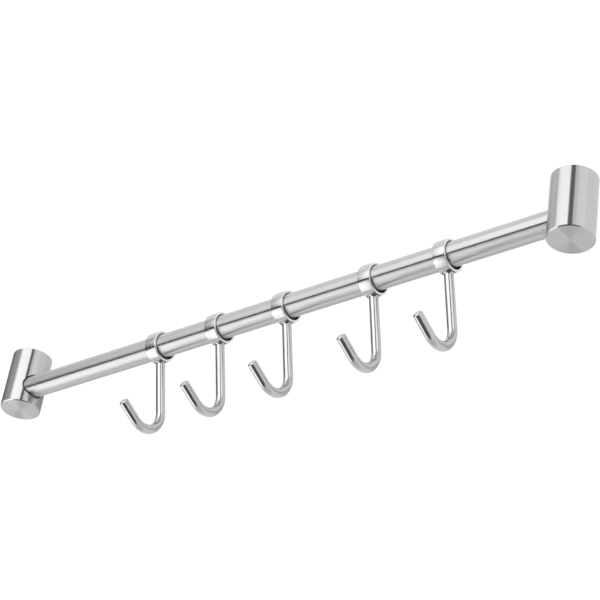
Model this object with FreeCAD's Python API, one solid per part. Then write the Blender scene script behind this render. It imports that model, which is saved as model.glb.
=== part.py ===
import FreeCAD, Part
import math
import os
from FreeCAD import Vector as V

os.makedirs("parts", exist_ok=True)

# ---------------------------------------------------------------- driving dimensions (mm)
# Frame: origin on the wall plane, half-way between the two wall screws.
# +X along the rail, +Y into the wall, +Z up.

POST_SPACING = 364.6        # between the two post axes (= between the wall screws)
POST_D = 23.0               # turned post
POST_LENGTH = 34.7          # wall plane to front face
POST_FRONT_CHAMFER = 0.45
POST_WALL_CHAMFER = 0.30

RAIL_D = 12.7               # round tube
RAIL_WALL = 1.0
RAIL_STANDOFF = 22.95       # wall plane to rail axis
RAIL_RISE = 1.7             # rail axis above the posts' axes: more metal below for the grub screw
RAIL_PAST_POST_AXIS = 4.5   # how far the tube runs past the post's axis
RAIL_SOCKET_CLEAR = 0.30    # radial, tube in socket
RAIL_SOCKET_BREAK = 0.35    # edge broken at the socket's mouth
RAIL_SOCKET_END = 0.3       # gap behind the tube's end

STUB_D = 12.0               # wall bush inside the post
STUB_LENGTH = 9.5
STUB_BORE_CLEAR = 0.05      # radial, stub in post
STUB_HEADROOM = 3.0         # for the wall screw's head, ahead of the stub
STUB_SCREW_HOLE_D = 4.5
STUB_COUNTERSINK_D = 8.6
STUB_GROOVE_R = 5.2         # ring groove that the grub screw bears on
STUB_GROOVE_W = 4.8
STUB_GRUB_Y = -5.0          # from the wall plane

GRUB_D = 4.0                # thread diameter of the grub screws
GRUB_CLEAR = 0.03
GRUB_HEX_AF = 2.0
GRUB_HEX_DEPTH = 2.2
GRUB_RECESS = 0.9           # outer end below the post's surface
GRUB_GAP = 0.05             # inner end to what it bears on

COLLAR_OD = 17.3            # slice of tube, loose on the rail
COLLAR_ID = 14.2
COLLAR_WIDTH = 7.2
COLLAR_EDGE = 0.25
COLLAR_CROWN = 0.15         # the polished outside is a little lower at its edges
COLLAR_TOP_GAP = 0.10       # the collar hangs on the top of the rail

WIRE_D = 5.0                # round wire of the hook
SHANK = 36.7                # collar axis to the start of the bend
BEND_R = 11.55              # centreline radius of the bend
TIP_LEAN = 47.0             # degrees, tip away from the shank's direction
TIP_LENGTH = 12.5           # straight end after the bend
TIP_ROUND = 0.9             # rounding of the cut end
WELD_FILLET = 1.4           # weld between wire and collar
WELD_HALF_WIDTH = 3.4       # along the rail, inside the collar's width
SADDLE_CLEAR = 0.05         # wire end to the collar's outside

HOOK_X = (-74.8, -32.2, 13.2, 68.7, 113.6)   # places of the hooks along the rail

# ---------------------------------------------------------------- derived values
post_x = POST_SPACING / 2
post_r = POST_D / 2
rail_r = RAIL_D / 2
rail_y = -RAIL_STANDOFF
rail_z = RAIL_RISE
front_y = -POST_LENGTH
floor_z = -post_r                                   # underside of the posts
collar_ro = COLLAR_OD / 2
collar_ri = COLLAR_ID / 2
collar_z = rail_z - (collar_ri - rail_r - COLLAR_TOP_GAP)   # collar axis, a little below the rail axis
wire_r = WIRE_D / 2

# The hook lies with the bottom of its bend on the same plane as the posts.  The lowest point of
# the bend is the bend's centre less (bend radius + wire radius), so with the shank dipping by d:
#   collar_z - SHANK*sin(d) + BEND_R*cos(d) - (BEND_R + wire_r) = floor_z
def dip_angle():
    lo, hi = 0.0, 40.0
    for _ in range(60):
        d = (lo + hi) / 2
        a = math.radians(d)
        low = collar_z - SHANK * math.sin(a) + BEND_R * math.cos(a) - (BEND_R + wire_r)
        if low < floor_z:
            hi = d
        else:
            lo = d
    return (lo + hi) / 2

HOOK_DIP = dip_angle()


def cyl(r, start, direction, length):
    return Part.makeCylinder(r, length, V(*start), V(*direction))


def clean(shape):
    shape = shape.removeSplitter()
    if shape.ShapeType != "Solid" and len(shape.Solids) == 1:
        shape = shape.Solids[0]
    return shape


def edges_where(shape, test):
    return [e for e in shape.Edges if test(e)]


def is_circle(e, r, tol=1e-4):
    return isinstance(e.Curve, Part.Circle) and abs(e.Curve.Radius - r) < tol


# ---------------------------------------------------------------- posts
def make_post(side):
    """side -1 is the left post, +1 the right one; the socket opens towards the middle."""
    x = side * post_x
    body = cyl(post_r, (x, front_y, 0), (0, 1, 0), POST_LENGTH)
    front = edges_where(body, lambda e: is_circle(e, post_r) and abs(e.Curve.Center.y - front_y) < 1e-6)
    body = body.makeChamfer(POST_FRONT_CHAMFER, front)
    back = edges_where(body, lambda e: is_circle(e, post_r) and abs(e.Curve.Center.y) < 1e-6)
    body = body.makeChamfer(POST_WALL_CHAMFER, back)
    # blind socket for the rail
    end = x + side * (RAIL_PAST_POST_AXIS + RAIL_SOCKET_END)
    depth = abs(end - (x - side * (post_r + 2)))
    body = body.cut(cyl(rail_r + RAIL_SOCKET_CLEAR, (end, rail_y, rail_z), (-side, 0, 0), depth))
    mouth = [
        e for e in body.Edges
        if not isinstance(e.Curve, (Part.Circle, Part.Line))
        and abs(e.BoundBox.Center.y - rail_y) < 1.0
        and abs(e.BoundBox.Center.x - x) < post_r
    ]
    body = body.makeChamfer(RAIL_SOCKET_BREAK, mouth)
    # bore in the wall end for the stub
    bore = STUB_LENGTH + STUB_HEADROOM
    body = body.cut(cyl(STUB_D / 2 + STUB_BORE_CLEAR, (x, -bore, 0), (0, 1, 0), bore + 1))
    mouth = edges_where(
        body,
        lambda e: is_circle(e, STUB_D / 2 + STUB_BORE_CLEAR) and abs(e.Curve.Center.y) < 1e-6,
    )
    body = body.makeChamfer(0.25, mouth)
    # two tapped holes from below, one to the stub and one to the rail
    for y in (STUB_GRUB_Y, rail_y):
        body = body.cut(cyl(GRUB_D / 2, (x, y, -post_r - 1), (0, 0, 1), post_r + 1 - 3.0))
    return clean(body)


# ---------------------------------------------------------------- rail
def make_rail():
    half = post_x + RAIL_PAST_POST_AXIS
    tube = cyl(rail_r, (-half, rail_y, rail_z), (1, 0, 0), 2 * half)
    ends = edges_where(tube, lambda e: is_circle(e, rail_r))
    tube = tube.makeChamfer(0.3, ends)
    return clean(tube.cut(cyl(rail_r - RAIL_WALL, (-half - 1, rail_y, rail_z), (1, 0, 0), 2 * half + 2)))


# ---------------------------------------------------------------- wall stubs
def make_stub(side):
    x = side * post_x
    r = STUB_D / 2
    c = 0.3
    hole = STUB_SCREW_HOLE_D / 2
    sink = STUB_COUNTERSINK_D / 2
    g0 = STUB_GRUB_Y - STUB_GROOVE_W / 2
    g1 = STUB_GRUB_Y + STUB_GROOVE_W / 2
    # half section, radius along X and depth along Y, turned about the stub's axis
    pts = [
        (sink, -STUB_LENGTH), (r - c, -STUB_LENGTH), (r, -STUB_LENGTH + c),
        (r, g0), (STUB_GROOVE_R, g0), (STUB_GROOVE_R, g1), (r, g1),
        (r, -c), (r - c, 0), (hole, 0), (hole, -STUB_LENGTH + (sink - hole)),
    ]
    ring = [V(x + a, b, 0) for a, b in pts]
    face = Part.Face(Part.makePolygon(ring + [ring[0]]))
    return clean(face.revolve(V(x, 0, 0), V(0, 1, 0), 360))


# ---------------------------------------------------------------- grub screws
def make_grub(x, y, inner_z):
    """Hexagon-socket grub screw, axis along Z, from below; inner_z is where its inner end is."""
    r = GRUB_D / 2 - GRUB_CLEAR
    top = inner_z
    bottom = -(post_r - GRUB_RECESS)
    screw = cyl(r, (x, y, bottom), (0, 0, 1), top - bottom)
    screw = screw.makeChamfer(0.35, edges_where(screw, lambda e: is_circle(e, r)))
    k = GRUB_HEX_AF / math.sqrt(3)
    hexagon = [
        V(x + k * math.cos(math.radians(60 * i)), y + k * math.sin(math.radians(60 * i)), bottom - 0.1)
        for i in range(6)
    ]
    socket = Part.Face(Part.makePolygon(hexagon + [hexagon[0]])).extrude(V(0, 0, GRUB_HEX_DEPTH + 0.1))
    return clean(screw.cut(socket))


# ---------------------------------------------------------------- hooks
def make_collar(x):
    # half section in the plane of the rail's axis and +Z, turned about the collar's axis
    w = COLLAR_WIDTH / 2
    at = lambda dx, r: V(x + dx, rail_y, collar_z + r)
    section = Part.Wire([
        Part.Arc(at(-w, collar_ro - COLLAR_CROWN), at(0, collar_ro), at(w, collar_ro - COLLAR_CROWN)).toShape(),
        Part.LineSegment(at(w, collar_ro - COLLAR_CROWN), at(w, collar_ri)).toShape(),
        Part.LineSegment(at(w, collar_ri), at(-w, collar_ri)).toShape(),
        Part.LineSegment(at(-w, collar_ri), at(-w, collar_ro - COLLAR_CROWN)).toShape(),
    ])
    ring = Part.Face(section).revolve(V(x, rail_y, collar_z), V(1, 0, 0), 360)
    ring = ring.makeFillet(COLLAR_EDGE, edges_where(ring, lambda e: isinstance(e.Curve, Part.Circle)))
    return clean(ring)


def make_wire():
    """One J hook, built with its shank along -Z from the collar's axis at the origin and its tip
    towards -Y, which is how it hangs; it is turned to its place afterwards."""
    shank = cyl(wire_r, (0, 0, 0), (0, 0, -1), SHANK)
    # bend: the wire's section turned about the bend's axis, parallel to X
    turn = 180.0 - TIP_LEAN
    centre = V(0, -BEND_R, -SHANK)
    section = Part.Face(Part.Wire(Part.makeCircle(wire_r, V(0, 0, -SHANK), V(0, 0, 1))))
    bend = section.revolve(centre, V(-1, 0, 0), turn)
    a = math.radians(turn)
    end = V(0, -BEND_R + BEND_R * math.cos(a), -SHANK - BEND_R * math.sin(a))
    way = V(0, -math.sin(a), -math.cos(a))
    tip = Part.makeCylinder(wire_r, TIP_LENGTH, end, way)
    last = end + way * TIP_LENGTH
    rim = edges_where(tip, lambda e: is_circle(e, wire_r) and (e.Curve.Center - last).Length < 1e-6)
    tip = tip.makeFillet(TIP_ROUND, rim)
    # weld at the collar: a concave fillet between the wire and the collar's outside, dressed off
    # inside the collar's width; the wire's end is coped to the collar
    core = cyl(collar_ro, (-20, 0, 0), (1, 0, 0), 40)
    root = core.fuse(shank)
    seam = [
        e for e in root.Edges
        if not isinstance(e.Curve, (Part.Circle, Part.Line)) and e.BoundBox.ZMax < -collar_ro / 2
    ]
    root = root.makeFillet(WELD_FILLET, seam)
    root = root.cut(cyl(collar_ro + SADDLE_CLEAR, (-25, 0, 0), (1, 0, 0), 50))
    root = root.common(Part.makeBox(2 * WELD_HALF_WIDTH, 40, 2 * SHANK, V(-WELD_HALF_WIDTH, -20, -SHANK - 1)))
    hook = root.fuse([bend, tip])
    solids = sorted(hook.Solids, key=lambda s: s.Volume)
    return clean(solids[-1])


def place_hook(shape, x):
    placed = shape.copy()
    placed.rotate(V(0, 0, 0), V(1, 0, 0), -(90.0 - HOOK_DIP))
    placed.translate(V(x, rail_y, collar_z))
    return placed


# ---------------------------------------------------------------- write the pieces
pieces = {
    "left_post": make_post(-1),
    "right_post": make_post(1),
    "rail_tube": make_rail(),
    "left_wall_stub": make_stub(-1),
    "right_wall_stub": make_stub(1),
    "stub_grub_screws": Part.makeCompound(
        [make_grub(s * post_x, STUB_GRUB_Y, -STUB_GROOVE_R - GRUB_GAP) for s in (-1, 1)]
    ),
    "rail_grub_screws": Part.makeCompound(
        [make_grub(s * post_x, rail_y, rail_z - rail_r - GRUB_GAP) for s in (-1, 1)]
    ),
}
wire = make_wire()
for n, x in enumerate(HOOK_X, 1):
    pieces["hook_%d_collar" % n] = make_collar(x)
    pieces["hook_%d_wire" % n] = place_hook(wire, x)

for name, shape in pieces.items():
    if not shape.isValid():
        raise RuntimeError(name + " is not valid")
    shape.exportStep("parts/%s.step" % name)
    b = shape.BoundBox
    print(
        "%-18s solids %d volume %9.2f  x %8.2f %8.2f  y %8.2f %8.2f  z %8.2f %8.2f"
        % (name, len(shape.Solids), shape.Volume, b.XMin, b.XMax, b.YMin, b.YMax, b.ZMin, b.ZMax)
    )
print("hook dip %.3f deg, collar axis z %.3f" % (HOOK_DIP, collar_z))
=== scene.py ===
# Looks of a short steel utensil rail: two turned posts, a ground tube and five wire hooks on collars.
import math

import bpy
from mathutils import Matrix, Vector

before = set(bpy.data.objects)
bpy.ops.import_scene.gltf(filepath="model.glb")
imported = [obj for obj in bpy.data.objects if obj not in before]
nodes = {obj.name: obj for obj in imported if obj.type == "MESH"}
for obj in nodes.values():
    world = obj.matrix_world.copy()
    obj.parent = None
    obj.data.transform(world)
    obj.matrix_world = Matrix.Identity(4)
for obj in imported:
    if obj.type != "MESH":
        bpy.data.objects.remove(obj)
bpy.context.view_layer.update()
scene = bpy.context.scene
scene.view_settings.view_transform = "Standard"
scene.view_settings.look = "None"

# ------------------------------------------------------------------ camera
# Long lens, looking down at the rail from the front right; the picture is rolled so that the hooks
# run straight down in it.
cam_data = bpy.data.cameras.new("camera")
cam_data.sensor_width = 36.0
cam_data.lens = 1833.9 * 36.0 / 600.0
cam_data.clip_start, cam_data.clip_end = 0.01, 50.0
camera = bpy.data.objects.new("camera", cam_data)
scene.collection.objects.link(camera)
right = Vector((0.77747630, 0.13673402, -0.61386839))
down = Vector((-0.24735597, -0.83093205, -0.49836428))
ahead = Vector((-0.57822627, 0.53931043, -0.61220800))
place = Vector((0.563413, -0.525716, 0.574495))
camera.matrix_world = Matrix((
    (right.x, -down.x, -ahead.x, place.x),
    (right.y, -down.y, -ahead.y, place.y),
    (right.z, -down.z, -ahead.z, place.z),
    (0, 0, 0, 1),
))
scene.camera = camera


# ------------------------------------------------------------------ node helpers
def new_material(name):
    m = bpy.data.materials.new(name)
    m.use_nodes = True
    t = m.node_tree
    t.nodes.clear()
    out = t.nodes.new("ShaderNodeOutputMaterial")
    b = t.nodes.new("ShaderNodeBsdfPrincipled")
    t.links.new(b.outputs["BSDF"], out.inputs["Surface"])
    return m, t, b


def add(t, kind, **values):
    n = t.nodes.new(kind)
    for k, v in values.items():
        if k in n.inputs:
            n.inputs[k].default_value = v
        else:
            setattr(n, k, v)
    return n


def map_range(t, source, lo, hi, from_lo=0.0, from_hi=1.0):
    n = add(t, "ShaderNodeMapRange")
    n.inputs["From Min"].default_value = from_lo
    n.inputs["From Max"].default_value = from_hi
    n.inputs["To Min"].default_value = lo
    n.inputs["To Max"].default_value = hi
    t.links.new(source, n.inputs["Value"])
    return n.outputs["Result"]


def stretched_noise(t, coords, scale, detail=3.0):
    """Noise whose grain is stretched: scale is cells per metre along each axis."""
    m = add(t, "ShaderNodeMapping")
    m.inputs["Scale"].default_value = scale
    t.links.new(coords, m.inputs["Vector"])
    n = add(t, "ShaderNodeTexNoise")
    n.inputs["Scale"].default_value = 1.0
    n.inputs["Detail"].default_value = detail
    t.links.new(m.outputs["Vector"], n.inputs["Vector"])
    return n.outputs["Fac"]


def blend_values(t, a, b, share):
    """share of a and the rest of b"""
    n = add(t, "ShaderNodeMix", data_type="FLOAT")
    n.inputs[0].default_value = share
    t.links.new(b, n.inputs[2])
    t.links.new(a, n.inputs[3])
    return n.outputs[0]


def mix_colours(t, fac, a, b):
    n = add(t, "ShaderNodeMix", data_type="RGBA")
    n.inputs[6].default_value = (*a, 1)
    n.inputs[7].default_value = (*b, 1)
    t.links.new(fac, n.inputs[0])
    return n.outputs[2]


# ------------------------------------------------------------------ materials
RAIL_Y, RAIL_Z = -0.02295, 0.0017      # the tube's axis
COLLAR_Z = 0.00105                     # the collars' axis, a little lower
DIP = math.radians(15.235)             # how far the shanks dip below level
SHANK, BEND_R = 0.0367, 0.01155
TURN = math.radians(180.0 - 47.0)      # how far the wire bends round


def vec(t, op, a, b=None):
    n = add(t, "ShaderNodeVectorMath", operation=op)
    for i, v in enumerate((a, b)):
        if v is None:
            continue
        if isinstance(v, (tuple, Vector)):
            n.inputs[i].default_value = tuple(v)
        else:
            t.links.new(v, n.inputs[i])
    return n


def from_axis(t, co, y, z):
    """distance from a line along X through (y, z)"""
    flat_co = vec(t, "MULTIPLY", co, (0, 1, 1)).outputs["Vector"]
    return vec(t, "DISTANCE", flat_co, (0, y, z)).outputs["Value"]


def steel(name, base, rough, aniso, tangent=None, rotate=0.0, grain=None, vary=0.04, rough_vary=0.10, bump=0.0,
          painted_shade=None, ends=None):
    """Bare steel.  tangent: a node socket for the way the gloss is drawn out, or X / Y for marks turned round
    that axis.  grain: cells per metre of the fine marks and of the broader streaks.
    painted_shade: (distance, from, to, grey, roughness) paints shade into narrow gaps: the metal turns dark and less
    glossy where the distance is under from.
    ends: (axis, grey, roughness, from and to) of the faces whose normal lies that far along the axis."""
    m, t, b = new_material(name)
    b.inputs["Metallic"].default_value = 1.0
    b.inputs["Anisotropic"].default_value = aniso
    b.inputs["Anisotropic Rotation"].default_value = rotate
    co = add(t, "ShaderNodeTexCoord").outputs["Object"]
    if tangent in ("X", "Y", "Z"):
        tn = add(t, "ShaderNodeTangent", direction_type="RADIAL", axis=tangent)
        t.links.new(tn.outputs["Tangent"], b.inputs["Tangent"])
    elif tangent is not None:
        t.links.new(tangent(t, co), b.inputs["Tangent"])
    fine_scale, streak_scale = grain
    fine = stretched_noise(t, co, fine_scale, 3.0)
    streak = stretched_noise(t, co, streak_scale, 2.0)
    cloud = stretched_noise(t, co, (45, 45, 45), 3.0)
    v = blend_values(t, blend_values(t, fine, streak, 0.55), cloud, 0.7)
    lo = tuple(c * (1 - vary) for c in base)
    hi = tuple(min(1.0, c * (1 + vary)) for c in base)
    colour = mix_colours(t, map_range(t, v, 0.0, 1.0, 0.35, 0.65), lo, hi)
    roughness = map_range(t, v, rough * (1 - rough_vary), rough * (1 + rough_vary), 0.35, 0.65)
    if ends:
        n = add(t, "ShaderNodeSeparateXYZ")
        t.links.new(vec(t, "ABSOLUTE", add(t, "ShaderNodeTexCoord").outputs["Normal"]).outputs["Vector"], n.inputs[0])
        k = map_range(t, n.outputs[ends[0]], 0.0, 1.0, *ends[3])
        n = add(t, "ShaderNodeMix", data_type="RGBA")
        n.inputs[7].default_value = (ends[1], ends[1], ends[1], 1)
        t.links.new(k, n.inputs[0])
        t.links.new(colour, n.inputs[6])
        colour = n.outputs[2]
        n = add(t, "ShaderNodeMix", data_type="FLOAT")
        n.inputs[3].default_value = ends[2]
        t.links.new(k, n.inputs[0])
        t.links.new(roughness, n.inputs[2])
        roughness = n.outputs[0]
    # painted shade: the grey turns dark and the gloss less sharp where the mask puts the metal in a narrow gap
    if painted_shade:
        where, d0, d1, dark, rough_dark = painted_shade
        k = map_range(t, where(t, co), 0.0, 1.0, d0, d1)
        n = add(t, "ShaderNodeMix", data_type="RGBA")
        n.inputs[6].default_value = (dark, dark, dark, 1)
        t.links.new(k, n.inputs[0])
        t.links.new(colour, n.inputs[7])
        colour = n.outputs[2]
        n = add(t, "ShaderNodeMix", data_type="FLOAT")
        n.inputs[2].default_value = rough_dark
        t.links.new(k, n.inputs[0])
        t.links.new(roughness, n.inputs[3])
        roughness = n.outputs[0]
    t.links.new(colour, b.inputs["Base Color"])
    t.links.new(roughness, b.inputs["Roughness"])
    if bump:
        bp = add(t, "ShaderNodeBump")
        bp.inputs["Strength"].default_value = bump
        bp.inputs["Distance"].default_value = 0.0002
        t.links.new(fine, bp.inputs["Height"])
        t.links.new(bp.outputs["Normal"], b.inputs["Normal"])
    return m


def along_wire(t, co):
    """the wire's own direction: straight down the shank, round the bend, straight up the tip"""
    s_dir = Vector((0, -math.cos(DIP), -math.sin(DIP)))
    t_dir = Vector((0, -math.sin(DIP), math.cos(DIP)))
    centre = Vector((0, RAIL_Y, COLLAR_Z)) + SHANK * s_dir + BEND_R * t_dir
    tip_dir = math.cos(TURN) * s_dir + math.sin(TURN) * t_dir
    q = vec(t, "SUBTRACT", vec(t, "MULTIPLY", co, (0, 1, 1)).outputs["Vector"], centre).outputs["Vector"]
    # on the bend the way along is square to the spoke from its centre
    round_dir = vec(t, "CROSS_PRODUCT", q, (-1, 0, 0)).outputs["Vector"]
    past_start = vec(t, "DOT_PRODUCT", q, s_dir).outputs["Value"]
    past_end = vec(t, "DOT_PRODUCT", q, tip_dir).outputs["Value"]
    on_tip_side = vec(t, "DOT_PRODUCT", q, t_dir).outputs["Value"]

    def choose(test, yes, no):
        n = add(t, "ShaderNodeMix", data_type="VECTOR")
        t.links.new(test, n.inputs[0])
        for i, v in ((4, no), (5, yes)):
            if isinstance(v, Vector):
                n.inputs[i].default_value = tuple(v)
            else:
                t.links.new(v, n.inputs[i])
        return n.outputs[1]

    bent = choose(map_range(t, past_start, 0.0, 1.0, -0.0004, 0.0004), round_dir, s_dir * 0.01)
    up = add(t, "ShaderNodeMath", operation="MULTIPLY")
    t.links.new(map_range(t, past_end, 0.0, 1.0, -0.0004, 0.0004), up.inputs[0])
    t.links.new(map_range(t, on_tip_side, 0.0, 1.0, 0.0, 0.002), up.inputs[1])
    way = choose(up.outputs[0], tip_dir * 0.01, bent)
    turn = add(t, "ShaderNodeVectorTransform", vector_type="VECTOR", convert_from="OBJECT", convert_to="WORLD")
    t.links.new(vec(t, "NORMALIZE", way).outputs["Vector"], turn.inputs["Vector"])
    return turn.outputs["Vector"]


def in_bore(t, co):
    return from_axis(t, co, RAIL_Y, COLLAR_Z)


def in_socket(t, co):
    """distance from the tube's axis, made large outside the two sockets' length"""
    n = add(t, "ShaderNodeSeparateXYZ")
    t.links.new(vec(t, "ABSOLUTE", co).outputs["Vector"], n.inputs[0])
    a = add(t, "ShaderNodeMath", operation="ADD")
    t.links.new(from_axis(t, co, RAIL_Y, RAIL_Z), a.inputs[0])
    t.links.new(map_range(t, n.outputs["X"], 0.0, 0.02, 0.1884, 0.1886), a.inputs[1])
    return a.outputs[0]


# the posts get painted shade, dark and less glossy, in the gap round the tube's mouth in each socket
POST = steel("post_steel", (0.49, 0.49, 0.49), 0.25, 1.0, "Y", 0.25, ((70, 3600, 70), (40, 900, 40)), 0.04, 0.06, 0.0,
             (in_socket, 0.00695, 0.00715, 0.03, 0.5), ("Y", 0.475, 0.28, (0.90, 0.99)))
RAIL = steel("rail_steel", (0.525, 0.525, 0.525), 0.285, 1.0, "X", 0.25, ((3600, 70, 70), (900, 40, 40)), 0.03, 0.05)
# the collars get painted shade, dark and less glossy, inside the bore round the tube, and a painted highlight on
# their end faces, which take a far lighter grey than the rest
COLLAR = steel("collar_steel_look", (0.515, 0.515, 0.515), 0.215, 0.95, "X", 0.25, ((3600, 90, 90), (1200, 60, 60)), 0.02, 0.06,
               0.0, (in_bore, 0.00725, 0.00745, 0.03, 0.5), ("X", 0.92, 0.55, (0.35, 0.75)))
# the wires get painted shade, dark and less glossy, at their top where they meet the collars
WIRE = steel("wire_steel", (0.475, 0.475, 0.475), 0.205, 0.55, along_wire, 0.0, ((700, 700, 700), (260, 260, 260)), 0.03, 0.06,
             0.0, (in_bore, 0.0087, 0.0090, 0.10, 0.4))
STUB = steel("stub_steel", (0.42, 0.42, 0.42), 0.32, 0.6, "Y", 0.25, ((120, 4000, 120), (60, 1200, 60)), 0.06, 0.12, 0.01)
SCREW = steel("grub_steel", (0.30, 0.30, 0.31), 0.30, 0.3, "Z", 0.25, ((300, 300, 3000), (150, 150, 900)), 0.08, 0.15, 0.01)

looks = {"left_post": POST, "right_post": POST, "rail_tube": RAIL, "left_wall_stub": STUB,
         "right_wall_stub": STUB, "stub_grub_screws": SCREW, "rail_grub_screws": SCREW}
for n in range(1, 6):
    looks["hook_%d_collar" % n] = COLLAR
    looks["hook_%d_wire" % n] = WIRE
for name, m in looks.items():
    o = nodes[name]
    o.data.materials.clear()
    o.data.materials.append(m)

# ------------------------------------------------------------------ floor, light and reflectors
FLOOR_Z = -0.0585     # below the hooks' swing
floor_mesh = bpy.data.meshes.new("floor")
s = 6.0
floor_mesh.from_pydata([(-s, -s, FLOOR_Z), (s, -s, FLOOR_Z), (s, s, FLOOR_Z), (-s, s, FLOOR_Z)], [], [(0, 1, 2, 3)])
floor = bpy.data.objects.new("floor", floor_mesh)
scene.collection.objects.link(floor)
fm, ft, fb = new_material("floor_paint")
fb.inputs["Roughness"].default_value = 0.9
fb.inputs["Specular IOR Level"].default_value = 0.1
fco = add(ft, "ShaderNodeTexCoord").outputs["Object"]
fn = stretched_noise(ft, fco, (8, 8, 8), 3.0)
ft.links.new(mix_colours(ft, fn, (0.97, 0.97, 0.97), (0.985, 0.985, 0.985)), fb.inputs["Base Color"])
floor_mesh.materials.append(fm)

world = bpy.data.worlds.new("studio")
world.use_nodes = True
world.node_tree.nodes["Background"].inputs["Color"].default_value = (1, 1, 1, 1)
world.node_tree.nodes["Background"].inputs["Strength"].default_value = 1.18
scene.world = world


def panel(name, level, corners):
    """A flat soft box, a dark gap between soft boxes or a sheet of painted shade on the floor, seen only in
    reflections: level is its brightness.
    """
    me = bpy.data.meshes.new(name)
    me.from_pydata(corners, [], [tuple(range(len(corners)))])
    o = bpy.data.objects.new(name, me)
    scene.collection.objects.link(o)
    m = bpy.data.materials.new(name)
    m.use_nodes = True
    t = m.node_tree
    t.nodes.clear()
    out = t.nodes.new("ShaderNodeOutputMaterial")
    em = t.nodes.new("ShaderNodeEmission")
    em.inputs["Color"].default_value = (1, 1, 1, 1)
    em.inputs["Strength"].default_value = level
    t.links.new(em.outputs[0], out.inputs["Surface"])
    me.materials.append(m)
    o.visible_camera = False
    o.visible_diffuse = False
    o.visible_shadow = False
    o.visible_transmission = False
    o.visible_volume_scatter = False
    return o


def flat(name, level, x0, x1, y0, y1, z):
    return panel(name, level, [(x0, y0, z), (x1, y0, z), (x1, y1, z), (x0, y1, z)])


def facing_y(name, level, x0, x1, z0, z1, y):
    return panel(name, level, [(x0, y, z0), (x1, y, z0), (x1, y, z1), (x0, y, z1)])


def facing_x(name, level, y0, y1, z0, z1, x):
    return panel(name, level, [(x, y0, z0), (x, y1, z0), (x, y1, z1), (x, y0, z1)])


# The studio is a box of panels 2 to 3 m across round the table.
TOP, FRONT, LEFT, RIGHT = 0.80, -1.10, -1.30, 1.40
# ceiling: a soft box, the dark gaps along its front, right and left edges, and a second box at the front left
GAP = TOP - 0.006
panel("gap_front", 0.05, [(-1.30, -0.58, GAP), (-0.90, -0.50, GAP), (-0.55, -0.372, GAP), (0.58, -0.357, GAP),
                          (0.58, -0.23, GAP), (-0.28, -0.212, GAP), (-0.50, -0.165, GAP), (-0.90, -0.14, GAP),
                          (-1.30, -0.13, GAP)])
flat("gap_right", 0.14, 0.385, 0.74, -0.36, 1.60, TOP - 0.004)
flat("top_box", 2.25, -0.44, 0.40, -0.30, 0.68, TOP - 0.002)
panel("gap_left", 0.08, [(-1.30, -0.20, TOP - 0.004), (-0.47, -0.20, TOP - 0.004), (-0.47, 0.08, TOP - 0.004),
                         (-0.80, 0.09, TOP - 0.004), (-1.05, -0.05, TOP - 0.004), (-1.30, -0.07, TOP - 0.004)])
flat("gap_left_edge", 1.05, -0.64, -0.46, 0.10, 0.95, TOP - 0.001)
flat("gap_left_mid", 0.62, -1.30, -0.48, -0.20, 0.25, TOP)
flat("gap_left_far", 0.45, -1.30, -0.49, 0.25, 1.05, TOP)
flat("front_top_box", 2.4, -1.30, -0.43, -1.10, -0.40, TOP - 0.002)
flat("front_top_gap", 0.10, -0.36, 1.40, -1.10, -0.36, TOP)
flat("right_top_box", 2.3, 0.80, 1.40, 0.12, 0.40, TOP - 0.002)
flat("gap_right_soft", 0.70, 0.74, 1.18, 0.42, 1.60, TOP)
# painted shade: dim sheets on the floor, seen only in reflections, stand in for the table's shadow close under the
# rail, in front of it, behind it at the left and by the left post; the last one makes the floor far off at the left
# darker
flat("table_shade", 0.76, -0.30, 0.20, -0.072, -0.031, FLOOR_Z + 0.001)
flat("table_front_shade", 0.84, -0.26, 0.25, -0.62, -0.15, FLOOR_Z + 0.001)
flat("table_left_shade", 0.30, -0.62, -0.215, 0.035, 0.22, FLOOR_Z + 0.001)
flat("table_post_shade", 0.38, -0.215, -0.095, -0.014, 0.014, FLOOR_Z + 0.001)
flat("table_left_far", 0.50, -1.30, -0.62, 0.20, 0.80, FLOOR_Z + 0.001)
# left: a dull wall, darker near the front, and the end of the front box
facing_x("left_wall_near", 0.06, -0.45, 0.45, FLOOR_Z, TOP, LEFT + 0.002)
facing_x("left_wall_base", 0.28, 0.45, 0.98, FLOOR_Z, 0.16, LEFT + 0.004)
facing_x("left_wall_far", 0.50, 0.45, 0.98, FLOOR_Z, TOP, LEFT + 0.002)
facing_x("left_front_box", 2.3, -1.10, -0.45, 0.05, TOP, LEFT)
# right: a tall narrow box
facing_x("right_box", 2.25, 0.25, 0.43, 0.02, TOP, RIGHT)
# front: a box at the left that stands on the table, and the dark room past the table's front edge at the right
facing_y("front_box", 2.35, -1.30, -0.43, FLOOR_Z, TOP, FRONT)
facing_y("front_gap_right", 0.07, -0.36, 1.40, FLOOR_Z + 0.03, TOP, FRONT + 0.002)
